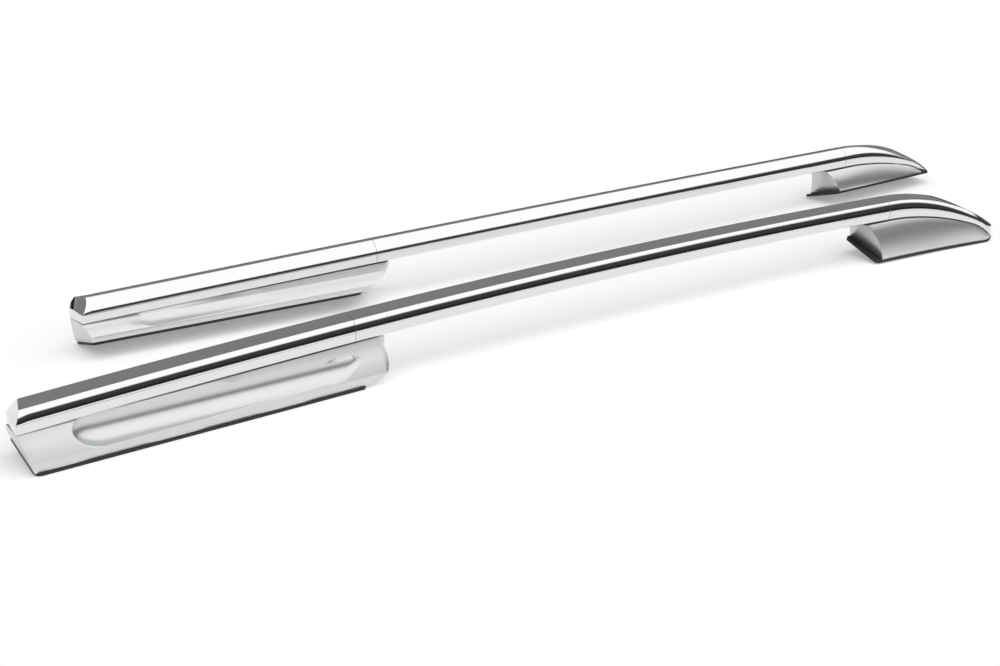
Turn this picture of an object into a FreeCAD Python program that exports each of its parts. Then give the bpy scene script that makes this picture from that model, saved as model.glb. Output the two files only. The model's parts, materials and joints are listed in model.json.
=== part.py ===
import FreeCAD, Part
import math
import os
import re
import Sketcher

# Roof side rail pair: two rails, mirror images of each other, side by side and staggered lengthwise.
# +X is forward, -Y is the right-hand side, +Z is up. Right-hand pieces are modelled, left-hand ones mirrored.
# The origin lies midway between the rails, at the level where the outer edges of the gaskets meet the roof.
# A reach is a distance from a rail's rear nose along the straight chord of its bar's line.

Vector = FreeCAD.Vector
os.makedirs("parts", exist_ok=True)
doc = FreeCAD.newDocument("RoofSideRails")

# Driving sizes, in millimetres and degrees
SIZES = {
    # The pair as it stands
    "overall_length": 1810,
    "rail_spacing": 314.4,
    "rail_stagger": 202,
    # The bar's line: an arc bowed sideways and arched upwards, over a chord between two heights
    "plan_bow": 24.7,
    "arch_rise": 12.9,
    "rear_height": 49.8,
    "front_height": 65.7,
    # The section shared by the bar and its end covers
    "bar_width": 45,
    "bar_height": 35.2,
    "top_width": 31.2,
    "crown": 3.2,
    "shoulder_bulge": 0.7,
    "crease_height": 17,
    "crease_step": 1.1,
    "side_lean": 0.5,
    "bar_corner": 2,
    "edge_radius": 3,
    "bar_wall": 2.4,
    "seam_gap": 0.4,
    "fit_clearance": 0.3,
    # The roof under the feet falls away outwards
    "roof_slope": 17,
    "gasket_thickness": 4,
    "gasket_lip": 1.2,
    "gasket_round": 9,
    # Both feet
    "foot_width": 77,
    "foot_wall": 2.8,
    "shadow_gap": 2,
    "plate_thickness": 5,
    "plate_width": 48,
    "tongue_wall": 4,
    "web_thickness": 3.5,
    "rib_rise": 9,
    "boss_width": 24,
    "plate_margin": 8,
    # Rear end cover and foot
    "rear_cover_length": 479,
    "nose_start": 3,
    "nose_rake": 28,
    "nose_tuck": 4,
    "nose_dome": 3,
    "rear_foot_start": 1,
    "rear_foot_rake": 14.7,
    "rear_foot_length": 471,
    "rear_foot_lean": 52,
    "rear_foot_slant": 50,
    "rear_foot_round": 38,
    "lip_height": 12,
    "scoop_radius": 28,
    "scoop_start": 60,
    "scoop_depth": 5.4,
    "scoop_fade": 1.4,
    "rear_plate_start": 60,
    "tongue_length": 80,
    # Front end cover and foot
    "front_reach": 272,
    "front_foot_overlap": 56,
    "front_foot_rake": 32,
    "front_gasket_start": -39,
    "tip_height": 22,
    "tip_share": 0.17,
    "tip_lean": 12,
    "tip_flare": 9,
    "tip_round": 32,
    "tip_crown": 6,
    "tip_slant": 6,
    "side_bulge": 3,
    "front_plate_start": -10,
    "front_plate_length": 168,
    "front_window": 160,
    "tongue_overlap": 26,
    "front_tongue_overlap": 12,
    # Fixings
    "bush_width": 16,
    "bush_length": 12,
    "bush_bore": 6.8,
    "bush_hole_margin": 1,
    "rear_bush_spacing": 300,
    "front_bush_spacing": 124,
    "front_bush_start": 16,
    "screw_diameter": 6,
    "screw_length": 12,
    "clip_width": 14,
    "clip_thickness": 1.2,
    "clip_span": 35,
    "clip_drop": 4.5,
    "rear_clip_start": 110,
    "rear_clip_spacing": 100,
    "front_clip_start": 30,
    "front_clip_spacing": 45,
}

sheet = doc.addObject("Spreadsheet::Sheet", "sizes")
for row, (alias, value) in enumerate(SIZES.items(), start=1):
    sheet.set("A%d" % row, alias)
    sheet.set("B%d" % row, str(value))
    sheet.setAlias("B%d" % row, alias)
doc.recompute()


def size(alias):
    return float(sheet.get(alias))


def bound(text):
    """Write {alias} as a reference to the sheet's cell of that name."""
    return re.sub(r"\{(\w+)\}", r"sizes.\1", text)


def value_of(text):
    return float(sheet.evalExpression(bound(text)))


# Sketch helpers: every corner's place is bound to the sheet, and so is every arc's height over its chord

QUARTER_RISE = "(1 - cos(45))"


def new_body(label, placement=None):
    body = doc.addObject("PartDesign::Body", label)
    body.Label = label
    if placement is not None:
        body.Placement = placement
    return body


def new_sketch(body, plane_role, name, offset="0", sideways="0"):
    plane = next(item for item in body.Origin.OriginFeatures if item.Role == plane_role)
    sketch = body.newObject("Sketcher::SketchObject", name)
    sketch.AttachmentSupport = [(plane, "")]
    sketch.MapMode = "FlatFace"
    for axis, distance in (("x", sideways), ("z", offset)):
        if distance != "0":
            sketch.setExpression("AttachmentOffset.Base." + axis, bound(distance))
    return sketch


def draw_outline(sketch, corners):
    """Closed outline, counter-clockwise. A corner is (x, y) or (x, y, bulge of the edge that leaves it)."""
    corners = [corner if len(corner) == 3 else corner + ("0",) for corner in corners]
    first = sketch.GeometryCount
    places = [(value_of(x), value_of(y)) for x, y, bulge in corners]
    count = len(corners)
    starts = []
    for index, (x, y, bulge) in enumerate(corners):
        start = Vector(places[index][0], places[index][1], 0)
        end = Vector(*places[(index + 1) % count], 0)
        rise = value_of(bulge)
        if bulge == "0":
            sketch.addGeometry(Part.LineSegment(start, end), False)
            starts.append(1)
            continue
        chord = end - start
        outward = Vector(chord.y, -chord.x, 0).normalize()
        radius = (chord.Length ** 2 / 4 + rise ** 2) / (2 * abs(rise))
        side = 1 if rise > 0 else -1
        centre = (start + end) * 0.5 + outward * (rise - side * radius)
        angles = [math.atan2(point.y - centre.y, point.x - centre.x) for point in (start, end)]
        if rise < 0:
            angles.reverse()
        if angles[1] < angles[0]:
            angles[1] += 2 * math.pi
        circle = Part.Circle(centre, Vector(0, 0, 1), radius)
        sketch.addGeometry(Part.ArcOfCircle(circle, angles[0], angles[1]), False)
        starts.append(1 if rise > 0 else 2)
    for index in range(count):
        after = (index + 1) % count
        ends = (first + index, 3 - starts[index], first + after, starts[after])
        sketch.addConstraint(Sketcher.Constraint("Coincident", *ends))
    for index, (x, y, bulge) in enumerate(corners):
        for kind, text, place in (("DistanceX", x, places[index][0]), ("DistanceY", y, places[index][1])):
            rule = Sketcher.Constraint(kind, -1, 1, first + index, starts[index], place)
            number = sketch.addConstraint(rule)
            sketch.setExpression("Constraints[%d]" % number, bound(text))
        if bulge != "0":
            x2, y2 = corners[(index + 1) % count][:2]
            half_chord = "(((%s) - (%s))^2 + ((%s) - (%s))^2) / 4" % (x2, x, y2, y)
            radius = "((%s) + (%s)^2) / (2 * abs(%s))" % (half_chord, bulge, bulge)
            number = sketch.addConstraint(Sketcher.Constraint("Radius", first + index, value_of(radius)))
            sketch.setExpression("Constraints[%d]" % number, bound(radius))


def draw_circle(sketch, x, y, diameter):
    circle = Part.Circle(Vector(value_of(x), value_of(y), 0), Vector(0, 0, 1), value_of(diameter) / 2)
    number = sketch.addGeometry(circle, False)
    for kind, text in (("DistanceX", x), ("DistanceY", y)):
        item = sketch.addConstraint(Sketcher.Constraint(kind, -1, 1, number, 3, value_of(text)))
        sketch.setExpression("Constraints[%d]" % item, bound(text))
    item = sketch.addConstraint(Sketcher.Constraint("Diameter", number, value_of(diameter)))
    sketch.setExpression("Constraints[%d]" % item, bound(diameter))


def draw_hexagon(sketch, x, y, width):
    """Regular hexagon about a point, measured across its corners."""
    corner = "%s + (%s) / 2 * %s(%d)"
    draw_outline(sketch, [(corner % (x, width, "cos", turn), corner % (y, width, "sin", turn))
                          for turn in range(0, 360, 60)])


def pad(body, name, sketch, length, midplane=False, backwards=False):
    feature = body.newObject("PartDesign::Pad", name)
    feature.Profile = sketch
    feature.setExpression("Length", bound(length))
    feature.Midplane = midplane
    feature.Reversed = backwards
    return feature


def pocket(body, name, sketch, length, midplane=True, backwards=False):
    feature = body.newObject("PartDesign::Pocket", name)
    feature.Profile = sketch
    feature.setExpression("Length", bound(length))
    feature.Midplane = midplane
    feature.Reversed = backwards
    return feature


def turn_about_arc(body, kind, name, sketch, angle):
    """Sweep a section along the bar's arc, as a turn about the arc's own far axis."""
    feature = body.newObject(kind, name)
    feature.Profile = sketch
    feature.ReferenceAxis = (sketch, ["Axis0"])
    feature.Reversed = True
    feature.setExpression("Angle", bound(angle))
    return feature


def round_edges(body, name, base, chosen, radius):
    """Round the edges of a feature that a test picks by their place."""
    doc.recompute()
    edges = ["Edge%d" % (n + 1) for n, edge in enumerate(base.Shape.Edges) if chosen(edge)]
    if not edges:
        raise RuntimeError("no edge to round in " + body.Label)
    feature = body.newObject("PartDesign::Fillet", name)
    feature.Base = (base, edges)
    feature.setExpression("Radius", bound(radius))
    doc.recompute()
    return feature


# The bar's line. Its bow and its arch make one circular arc in a leaning plane.

CHORD_RISE = "({front_height} - {rear_height})"
SAGITTA = "sqrt({plan_bow}^2 + {arch_rise}^2)"
ARC_RADIUS = "(({overall_length}^2 / 4 + %s^2) / (2 * %s))" % (SAGITTA, SAGITTA)
arc_radius = value_of(ARC_RADIUS)
lean = math.atan2(size("arch_rise"), size("plan_bow"))
toward_crown = Vector(0, math.cos(lean), math.sin(lean))
arc_axis = Vector(0, -math.sin(lean), math.cos(lean))
mid_level = (size("rear_height") + size("front_height")) / 2
mid_chord = Vector(-size("rail_stagger") / 2, -size("rail_spacing") / 2, mid_level)
arc_centre = mid_chord + toward_crown * (value_of(SAGITTA) - arc_radius)
chord_tilt = math.atan2(size("front_height") - size("rear_height"), size("overall_length"))


def arc_angle(reach):
    """Turn from the arc's middle to the station at a distance along the chord, in degrees."""
    return math.degrees(math.asin((reach - size("overall_length") / 2) / arc_radius))


def angle_text(reach):
    return "asin(((%s) - {overall_length} / 2) / %s) / 1deg" % (reach, ARC_RADIUS)


def station(reach):
    """Frame on the bar's underside at a distance along the chord, X along the bar."""
    pitch = FreeCAD.Rotation(Vector(0, 1, 0), -math.degrees(chord_tilt))
    tilt = FreeCAD.Placement(Vector(), pitch, mid_chord)
    swing = FreeCAD.Rotation(arc_axis, -arc_angle(reach))
    turn = FreeCAD.Placement(Vector(), swing, arc_centre)
    crown = FreeCAD.Placement(mid_chord + toward_crown * value_of(SAGITTA), FreeCAD.Rotation())
    return tilt.multiply(turn).multiply(crown)


def upright(reach):
    """The same station with only its turn in plan: the frame of a foot, at the roof's level."""
    frame = station(reach)
    ahead = frame.Rotation.multVec(Vector(1, 0, 0))
    place = Vector(frame.Base.x, frame.Base.y, 0)
    heading = math.degrees(math.atan2(ahead.y, ahead.x))
    return FreeCAD.Placement(place, FreeCAD.Rotation(Vector(0, 0, 1), heading))


REAR_SEAM = "{rear_cover_length}"
FRONT_SEAM = "({overall_length} - {front_reach})"
rear_seam = value_of(REAR_SEAM)
front_seam = value_of(FRONT_SEAM)

# Formulas shared by several pieces

SIDE_TOP = "({bar_width} / 2 - {crease_step})"
SIDE_BOTTOM = "({bar_width} / 2 - {crease_step} - {side_lean})"
BORE_HALF = "(%s - {bar_wall})" % SIDE_TOP
BORE_TOP_HALF = "({top_width} / 2 - 2 * {bar_wall})"
BORE_TOP = "({bar_height} - {bar_wall})"
OUTER_EDGE = "({foot_width} / 2 + {gasket_lip})"
ROOF_WIDTH = "(2 * %s / cos({roof_slope}))" % OUTER_EDGE
COVER_TOP_LEVEL = "({gasket_thickness} / cos({roof_slope}))"


def underside(reach):
    """Height of the bar's underside at a reach."""
    share = "((%s) / {overall_length})" % reach
    return "({rear_height} + %s * %s + 4 * {arch_rise} * %s * (1 - %s))" % (CHORD_RISE, share, share, share)


def roof_height(across):
    """Height of the roof under a foot at a distance to the left of its middle line."""
    return "((%s + (%s)) * tan({roof_slope}))" % (OUTER_EDGE, across)


def section_outline(wide="1", high="1", base="0", straight=False):
    """The bar's section: flat underside, leaning sides, a crease, sloping shoulders and a crowned top."""
    shoulders = "0" if straight else "{shoulder_bulge}"
    crowned = [("{top_width} / 2", "({bar_height} - {crown})", "{crown}")]
    if straight:
        crowned = [
            ("{top_width} / 2", "({bar_height} - {crown})"),
            ("{top_width} / 6", "({bar_height} - {crown} / 9)"),
            ("-{top_width} / 6", "({bar_height} - {crown} / 9)"),
        ]
    corners = [
        ("-(%s - {bar_corner})" % SIDE_BOTTOM, "0"),
        ("(%s - {bar_corner})" % SIDE_BOTTOM, "0"),
        (SIDE_BOTTOM, "{bar_corner}"),
        (SIDE_TOP, "({crease_height} - {crease_step})"),
        ("{bar_width} / 2", "{crease_height}", shoulders),
    ] + crowned + [
        ("-{top_width} / 2", "({bar_height} - {crown})", shoulders),
        ("-{bar_width} / 2", "{crease_height}"),
        ("-" + SIDE_TOP, "({crease_height} - {crease_step})"),
        ("-" + SIDE_BOTTOM, "{bar_corner}"),
    ]
    scaled = []
    for corner in corners:
        place = ("(%s) * (%s)" % (wide, corner[0]), "(%s) + (%s) * (%s)" % (base, high, corner[1]))
        scaled.append(place + tuple("(%s) * (%s)" % (high, bulge) for bulge in corner[2:] if bulge != "0"))
    return scaled


def bore_outline(inset="0", floor="{bar_wall}", wide="1", high="1", base="0"):
    """The hollow inside that section, or a piece that fits it when it is inset."""
    half, top_half = "(%s - (%s))" % (BORE_HALF, inset), "(%s - 0.7 * (%s))" % (BORE_TOP_HALF, inset)
    corners = [
        ("-" + half, floor),
        (half, floor),
        (half, "{crease_height}"),
        (top_half, "(%s - (%s))" % (BORE_TOP, inset)),
        ("-" + top_half, "(%s - (%s))" % (BORE_TOP, inset)),
        ("-" + half, "{crease_height}"),
    ]
    return [("(%s) * (%s)" % (wide, x), "(%s) + (%s) * (%s)" % (base, high, y)) for x, y in corners]


def box_outline(x0, y0, x1, y1):
    return [(x0, y0), (x1, y0), (x1, y1), (x0, y1)]


def draw_arc_axis(sketch):
    """The far axis of the bar's arc, as a construction line."""
    across = "-%s * {plan_bow} / %s" % (ARC_RADIUS, SAGITTA)
    below = "-%s * {arch_rise} / %s" % (ARC_RADIUS, SAGITTA)
    ends = [(across, below), (across + " - {arch_rise}", below + " + {plan_bow}")]
    points = [Vector(value_of(x), value_of(y), 0) for x, y in ends]
    line = sketch.addGeometry(Part.LineSegment(*points), True)
    for end, (x, y) in enumerate(ends, start=1):
        for kind, text in (("DistanceX", x), ("DistanceY", y)):
            item = sketch.addConstraint(Sketcher.Constraint(kind, -1, 1, line, end, value_of(text)))
            sketch.setExpression("Constraints[%d]" % item, bound(text))


def turned_body(label, start, finish, outlines):
    """A length of section carried along the bar's arc between two stations."""
    body = new_body(label, station(value_of(start)))
    sketch = new_sketch(body, "YZ_Plane", "section")
    for outline in outlines:
        draw_outline(sketch, outline)
    draw_arc_axis(sketch)
    angle = "(%s) - (%s)" % (angle_text(finish), angle_text(start))
    turn_about_arc(body, "PartDesign::Revolution", "sweep", sketch, angle)
    doc.recompute()
    return body


def cut(label, base, tools):
    feature = base
    for number, tool in enumerate(tools, start=1):
        step = doc.addObject("Part::Cut", label if number == len(tools) else "%s_step_%d" % (label, number))
        step.Base = feature
        step.Tool = tool
        feature = step
    feature.Label = label
    return feature


def fuse(label, pieces):
    feature = doc.addObject("Part::MultiFuse", label)
    feature.Shapes = pieces
    feature.Refine = True
    feature.Label = label
    return feature


# Frames. A foot's own frame lies along the bar, at the level of the roof's outer edge.

def foot_frame(start, finish):
    """Frame from one station to another in plan, set midway between the bar's arc and its chord."""
    first, last = station(start).Base, station(finish).Base
    middle = station((start + finish) / 2).Base
    heading = FreeCAD.Rotation(Vector(0, 0, 1), math.degrees(math.atan2(last.y - first.y, last.x - first.x)))
    inward = heading.multVec(Vector(0, 1, 0))
    bow = (middle - (first + last) * 0.5).dot(inward)
    place = first + inward * (bow / 2)
    place.z = 0
    return FreeCAD.Placement(place, heading)


def on_roof(frame):
    """A foot's frame tipped onto the roof, its origin at the gasket's outer edge."""
    slope = FreeCAD.Rotation(Vector(1, 0, 0), size("roof_slope"))
    tip = FreeCAD.Placement(Vector(0, -value_of(OUTER_EDGE), 0), slope)
    return frame.multiply(tip)


# The front gasket starts higher, so that where it flares down the slope its edge comes to the same level.
OUTER_END = "({front_reach} - {tip_crown} - {tip_slant} - {tip_round})"
FRONT_RISE = "({tip_flare} * (%s / {front_reach})^2 * tan({roof_slope}))" % OUTER_END
rear_frame = foot_frame(0, rear_seam)
front_frame = upright(front_seam)
front_frame.Base.z = value_of(FRONT_RISE)
rear_roof = on_roof(rear_frame)
front_roof = on_roof(front_frame)


def tip_sketch_onto_roof(sketch):
    """Turn a side-view sketch so that its height is measured square to the roof."""
    slope = FreeCAD.Rotation(Vector(1, 0, 0), size("roof_slope"))
    sketch.AttachmentOffset = FreeCAD.Placement(Vector(), slope)
    sketch.setExpression("AttachmentOffset.Rotation.Angle", bound("{roof_slope}"))
    sketch.setExpression("AttachmentOffset.Base.z", bound(OUTER_EDGE))


def trim_to_gasket(body):
    """Cut a foot cover off along the gasket's upper face."""
    sketch = new_sketch(body, "YZ_Plane", "roof_line")
    left, right = "-{foot_width}", "{foot_width}"
    corners = [
        (left, "-{foot_width}"),
        (right, "-{foot_width}"),
        (right, roof_height(right) + " + " + COVER_TOP_LEVEL),
        (left, roof_height(left) + " + " + COVER_TOP_LEVEL),
    ]
    draw_outline(sketch, corners)
    pocket(body, "roof_cut", sketch, "2 * {overall_length}")


# Set screws that hold the bar on its two tongues

def screw_body(label, reach, clearance):
    """A set screw driven up flush with the bar's underside, or with a clearance the hole for it."""
    body = new_body(label, station(value_of(reach)))
    sketch = new_sketch(body, "XY_Plane", "round")
    draw_circle(sketch, "0", "0", "{screw_diameter} + 2 * %s" % clearance)
    pad(body, "shank", sketch, "{screw_length} + %s" % clearance)
    return body


def tongue_screw(label, reach):
    """A set screw with a hexagon recess in its end, and the hole that it sits in."""
    screw = screw_body(label, reach, "0")
    key = new_sketch(screw, "XY_Plane", "hexagon_key")
    draw_hexagon(key, "0", "0", "{screw_diameter} / 2")
    pocket(screw, "key_recess", key, "{screw_diameter} / 2", midplane=False, backwards=True)
    return screw, screw_body(label + "_hole", reach, "{fit_clearance} / 2")


def group_of(label, pieces):
    group = doc.addObject("Part::Compound", label)
    group.Links = pieces
    group.Label = label
    return group


rear_screw, rear_screw_hole = tongue_screw("rear_screw", REAR_SEAM + " + {tongue_length} / 2")
front_screw, front_screw_hole = tongue_screw("front_screw", FRONT_SEAM + " - {tongue_length} / 2")
tongue_screws = group_of("tongue_screws", [rear_screw, front_screw])

# Bar: a hollow extrusion, bent to the arc and drilled from below

bar_start = REAR_SEAM + " + {seam_gap} / 2"
bar_end = FRONT_SEAM + " - {seam_gap} / 2"
bar_blank = turned_body("bar_blank", bar_start, bar_end, [section_outline(), bore_outline()])


def long_top_edge(edge):
    """The two long edges where the shoulders meet the crowned top."""
    if edge.Length < size("bar_width") * 3:
        return False
    end = edge.Vertexes[0].Point
    at_top = abs(end.z - size("bar_height") + size("crown")) < size("fit_clearance")
    return at_top and abs(abs(end.y) - size("top_width") / 2) < size("fit_clearance")


round_edges(bar_blank, "top_edges", bar_blank.Group[-1], long_top_edge, "{edge_radius}")
bar = cut("bar", bar_blank, [rear_screw_hole, front_screw_hole])

# Rear end cover: a moulding with the bar's section, open below, with a raked and domed nose

rear_cover_blank = turned_body("rear_cover_blank", "0", REAR_SEAM + " - {seam_gap} / 2", [section_outline()])
round_edges(rear_cover_blank, "top_edges", rear_cover_blank.Group[-1], long_top_edge, "{edge_radius}")
nose_side = new_sketch(rear_cover_blank, "XZ_Plane", "nose_side_view")
outside = "-{bar_height}"
above = "2 * {bar_height}"
draw_outline(nose_side, [
    (outside, outside),
    ("{nose_tuck}", outside),
    ("{nose_tuck}", "0"),
    ("{nose_start}", "{crease_height}", "-{nose_dome} / 2"),
    ("{nose_rake}", "{bar_height}"),
    ("{nose_rake}", above),
    (outside, above),
])
pocket(rear_cover_blank, "nose_cut", nose_side, "3 * {bar_width}")
nose_plan = new_sketch(rear_cover_blank, "XY_Plane", "nose_plan_view")
draw_outline(nose_plan, [
    (outside, "-{bar_width} * 0.7"),
    ("{nose_start} + {nose_dome}", "-{bar_width} * 0.7", "-{nose_dome}"),
    ("{nose_start} + {nose_dome}", "{bar_width} * 0.7"),
    (outside, "{bar_width} * 0.7"),
])
pocket(rear_cover_blank, "nose_crown", nose_plan, "4 * {bar_height}")
cavity_start = "{nose_rake} + {foot_wall}"
cavity_end = REAR_SEAM + " + {foot_wall}"
open_bore = bore_outline(floor="-{bar_wall}")
rear_cover_cavity = turned_body("rear_cover_cavity", cavity_start, cavity_end, [open_bore])
rear_cover = cut("rear_end_cover", rear_cover_blank, [rear_cover_cavity])

# Rear foot cover: a long skirt with raked ends, a lip along its foot and a scoop in each side

CAVITY_HALF = "(%s - {scoop_depth} - {foot_wall})" % SIDE_BOTTOM
FOOT_TOP_HALF = "(%s - {fit_clearance})" % SIDE_BOTTOM
REAR_BASE_END = "({rear_foot_start} + {rear_foot_rake} + {rear_foot_length})"
REAR_FOOT_END = "(%s + {rear_foot_lean})" % REAR_BASE_END
HALF_FOOT = "{foot_width} / 2"
KNEE = "({rear_height} - {fit_clearance})"
OUTER_LIP = "(%s + {lip_height})" % COVER_TOP_LEVEL
INNER_LIP = "(%s + {lip_height})" % roof_height(HALF_FOOT)

rear_foot = new_body("rear_foot_cover", rear_frame)
section = new_sketch(rear_foot, "YZ_Plane", "section")
draw_outline(section, [
    ("-" + HALF_FOOT, "-{lip_height}"),
    (HALF_FOOT, "-{lip_height}"),
    (HALF_FOOT, INNER_LIP, "{shoulder_bulge}"),
    (FOOT_TOP_HALF, KNEE),
    (FOOT_TOP_HALF, "2 * {rear_height}"),
    ("-" + FOOT_TOP_HALF, "2 * {rear_height}"),
    ("-" + FOOT_TOP_HALF, KNEE, "{shoulder_bulge}"),
    ("-" + HALF_FOOT, OUTER_LIP),
])
pad(rear_foot, "blank", section, REAR_FOOT_END)

top_line = new_sketch(rear_foot, "XZ_Plane", "top_line")
arch = "{arch_rise} * (%s / {overall_length})^2" % REAR_FOOT_END
draw_outline(top_line, [
    ("0", underside("0") + " - {fit_clearance}", "-" + arch),
    (REAR_FOOT_END, underside(REAR_FOOT_END) + " - {shadow_gap}"),
    (REAR_FOOT_END, "3 * {rear_height}"),
    ("0", "3 * {rear_height}"),
])
pocket(rear_foot, "top_cut", top_line, "3 * {foot_width}")

back_end = new_sketch(rear_foot, "XZ_Plane", "raked_back_end")
tip_sketch_onto_roof(back_end)
base_start = "({rear_foot_start} + {rear_foot_rake})"
high = "2 * {rear_height}"
draw_outline(back_end, [
    ("-{rear_height}", "-{rear_height}"),
    (base_start, "-{rear_height}"),
    (base_start, "0"),
    ("{rear_foot_start}", underside("0")),
    ("{rear_foot_start}", high),
    ("-{rear_height}", high),
])
pocket(rear_foot, "back_end_cut", back_end, "6 * {foot_width}")

# The forward end is raked too, rounded, and slanted in plan, so that the inner side is the shorter one.
slant = math.atan(size("rear_foot_slant") / size("foot_width"))
fall = math.atan(math.tan(math.radians(size("roof_slope"))) * math.cos(slant))
along_end = FreeCAD.Rotation(Vector(0, 1, 0), math.degrees(slant))
onto_roof = FreeCAD.Rotation(Vector(1, 0, 0), math.degrees(fall))
forward_end = new_sketch(rear_foot, "XZ_Plane", "slanted_forward_end", OUTER_EDGE, REAR_BASE_END)
forward_end.AttachmentOffset.Rotation = along_end.multiply(onto_roof)
lean = "({rear_foot_lean} * cos(%.3f))" % math.degrees(slant)
draw_outline(forward_end, [
    ("0", "-{rear_height}"),
    (REAR_BASE_END, "-{rear_height}"),
    (REAR_BASE_END, high),
    (lean, high),
    (lean, underside(REAR_FOOT_END), "-{rear_foot_round} / 3"),
    ("0", "0"),
])
pocket(rear_foot, "forward_end_cut", forward_end, "6 * {foot_width}")
trim_to_gasket(rear_foot)

# The scoops: a long round channel that begins as a ball and fades out forwards

def scoop(body, side, lip):
    reach = "(%s - {scoop_depth} + {scoop_radius})" % SIDE_BOTTOM
    centre = {
        "x": "{scoop_start} + {scoop_radius}",
        "y": "%d * %s" % (side, reach),
        "z": lip + " + {scoop_radius}",
    }
    channel = body.newObject("PartDesign::SubtractiveCylinder", "scoop_channel")
    channel.setExpression("Radius", bound("{scoop_radius}"))
    channel.setExpression("Height", bound(REAR_FOOT_END))
    heading = FreeCAD.Rotation(Vector(0, 0, 1), side * size("scoop_fade"))
    lengthwise = FreeCAD.Rotation(Vector(0, 1, 0), 90)
    channel.AttachmentOffset = FreeCAD.Placement(Vector(), heading.multiply(lengthwise))
    ball = body.newObject("PartDesign::SubtractiveSphere", "scoop_start")
    ball.setExpression("Radius", bound("{scoop_radius}"))
    floor = next(item for item in body.Origin.OriginFeatures if item.Role == "XY_Plane")
    for feature in (channel, ball):
        feature.AttachmentSupport = [(floor, "")]
        feature.MapMode = "FlatFace"
        for axis, text in centre.items():
            feature.setExpression("AttachmentOffset.Base." + axis, bound(text))


scoop(rear_foot, -1, OUTER_LIP)
scoop(rear_foot, 1, INNER_LIP)

# Its inside: open below and, under the end cover, above

hollow_start = "{rear_foot_start} + {rear_foot_rake} + {foot_wall}"
hollow = new_sketch(rear_foot, "YZ_Plane", "hollow_section", hollow_start)
INNER_HALF = "(%s - {foot_wall})" % HALF_FOOT
lip_inside = "({lip_height} - {foot_wall})"
draw_outline(hollow, [
    ("-" + INNER_HALF, "-{lip_height}"),
    (INNER_HALF, "-{lip_height}"),
    (INNER_HALF, "%s + %s" % (roof_height(HALF_FOOT), lip_inside), "-{scoop_radius} / 6"),
    (CAVITY_HALF, INNER_LIP + " + {foot_wall}"),
    (CAVITY_HALF, "2 * {rear_height}"),
    ("-" + CAVITY_HALF, "2 * {rear_height}"),
    ("-" + CAVITY_HALF, OUTER_LIP + " + {scoop_radius} - {foot_wall}", "-{scoop_radius} / 4"),
    ("-" + INNER_HALF, lip_inside),
])
HOLLOW_END = "(%s - {rear_foot_slant} - 3 * {foot_wall})" % REAR_BASE_END
hollow_length = "%s - (%s)" % (HOLLOW_END, hollow_start)
pocket(rear_foot, "hollow", hollow, hollow_length, midplane=False, backwards=True)
doc.recompute()

# Gasket: a rubber pad cut to the foot's outline, with a hole round each bush

def gasket(label, frame, outline, bushes):
    body = new_body(label, frame)
    sketch = new_sketch(body, "XY_Plane", "outline")
    draw_outline(sketch, outline)
    for x, y in bushes:
        draw_circle(sketch, x, y, "{bush_width} + 2 * {bush_hole_margin}")
    pad(body, "pad", sketch, "{gasket_thickness}")
    return body


MIDDLE = "(%s / 2)" % ROOF_WIDTH
PLATE_LENGTH = "(%s - {plate_margin} - {rear_plate_start})" % HOLLOW_END
plate_middle = "({rear_plate_start} + %s / 2)" % PLATE_LENGTH
rear_bushes = [("%s + (%d) * {rear_bush_spacing} / 2" % (plate_middle, side), MIDDLE) for side in (-1, 1)]
g0 = "(%s - {gasket_lip})" % base_start
g1 = "(%s + {gasket_lip})" % REAR_BASE_END
g2 = "(%s - {rear_foot_slant})" % g1
corner = "{gasket_round}"
bulge = QUARTER_RISE + " * {gasket_round}"
turned = math.degrees(math.atan(size("rear_foot_slant") / value_of(ROOF_WIDTH)))


def corner_rise(opening):
    """Height of a corner's arc over its chord, for a corner that opens by an angle."""
    return "{gasket_round} * tan(%.3f / 2) * (1 - sin(%.3f / 2))" % (opening, opening)


rear_outline = [
    ("%s + %s" % (g0, corner), "0"),
    ("%s - %s" % (g1, corner), "0", corner_rise(90 - turned)),
    ("%s - %s * sin(%.3f)" % (g1, corner, turned), "%s * cos(%.3f)" % (corner, turned)),
    ("%s + %s * sin(%.3f)" % (g2, corner, turned), "%s - %s * cos(%.3f)" % (ROOF_WIDTH, corner, turned),
     corner_rise(90 + turned)),
    ("%s - %s" % (g2, corner), ROOF_WIDTH),
    ("%s + %s" % (g0, corner), ROOF_WIDTH, bulge),
    (g0, "%s - %s" % (ROOF_WIDTH, corner)),
    (g0, corner, bulge),
]
rear_gasket = gasket("rear_gasket", rear_roof, rear_outline, rear_bushes)

# Bushes: threaded steel inserts that stand on the roof through the gasket and take the fixings

def bushes(label, frame, places):
    body = new_body(label, frame)
    sketch = new_sketch(body, "XY_Plane", "rings")
    for x, y in places:
        draw_hexagon(sketch, x, y, "{bush_width}")
        draw_circle(sketch, x, y, "{bush_bore}")
    pad(body, "inserts", sketch, "{gasket_thickness} + {bush_length}")
    return body


rear_bush_group = bushes("rear_bushes", rear_roof, rear_bushes)

# Front end cover: the bar's section carried forwards and down to the tip, in lofted stations.
# A share of 0 is the seam and 1 is the tip. Towards the tip both covers flare outwards and lean onto the roof.

SHARES = (0.5, 1.0)
SEAM_LEVEL = "(%s - %s)" % (underside(FRONT_SEAM), FRONT_RISE)


def sideways(share):
    """The flare: how far the covers' line lies from the foot's middle line."""
    return "(-{tip_flare} * (%s)^2)" % share


def leaning(share):
    """The lean of the covers' section onto the roof."""
    return "({tip_lean} * %.5f)" % share ** 2


def top_level(share):
    """Height of the cover's crown: level at the seam, falling ever faster towards the tip."""
    return "(%s + {bar_height} - (%s + {bar_height} - {tip_height}) * %.5f)" % (SEAM_LEVEL, SEAM_LEVEL, share ** 1.75)


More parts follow.
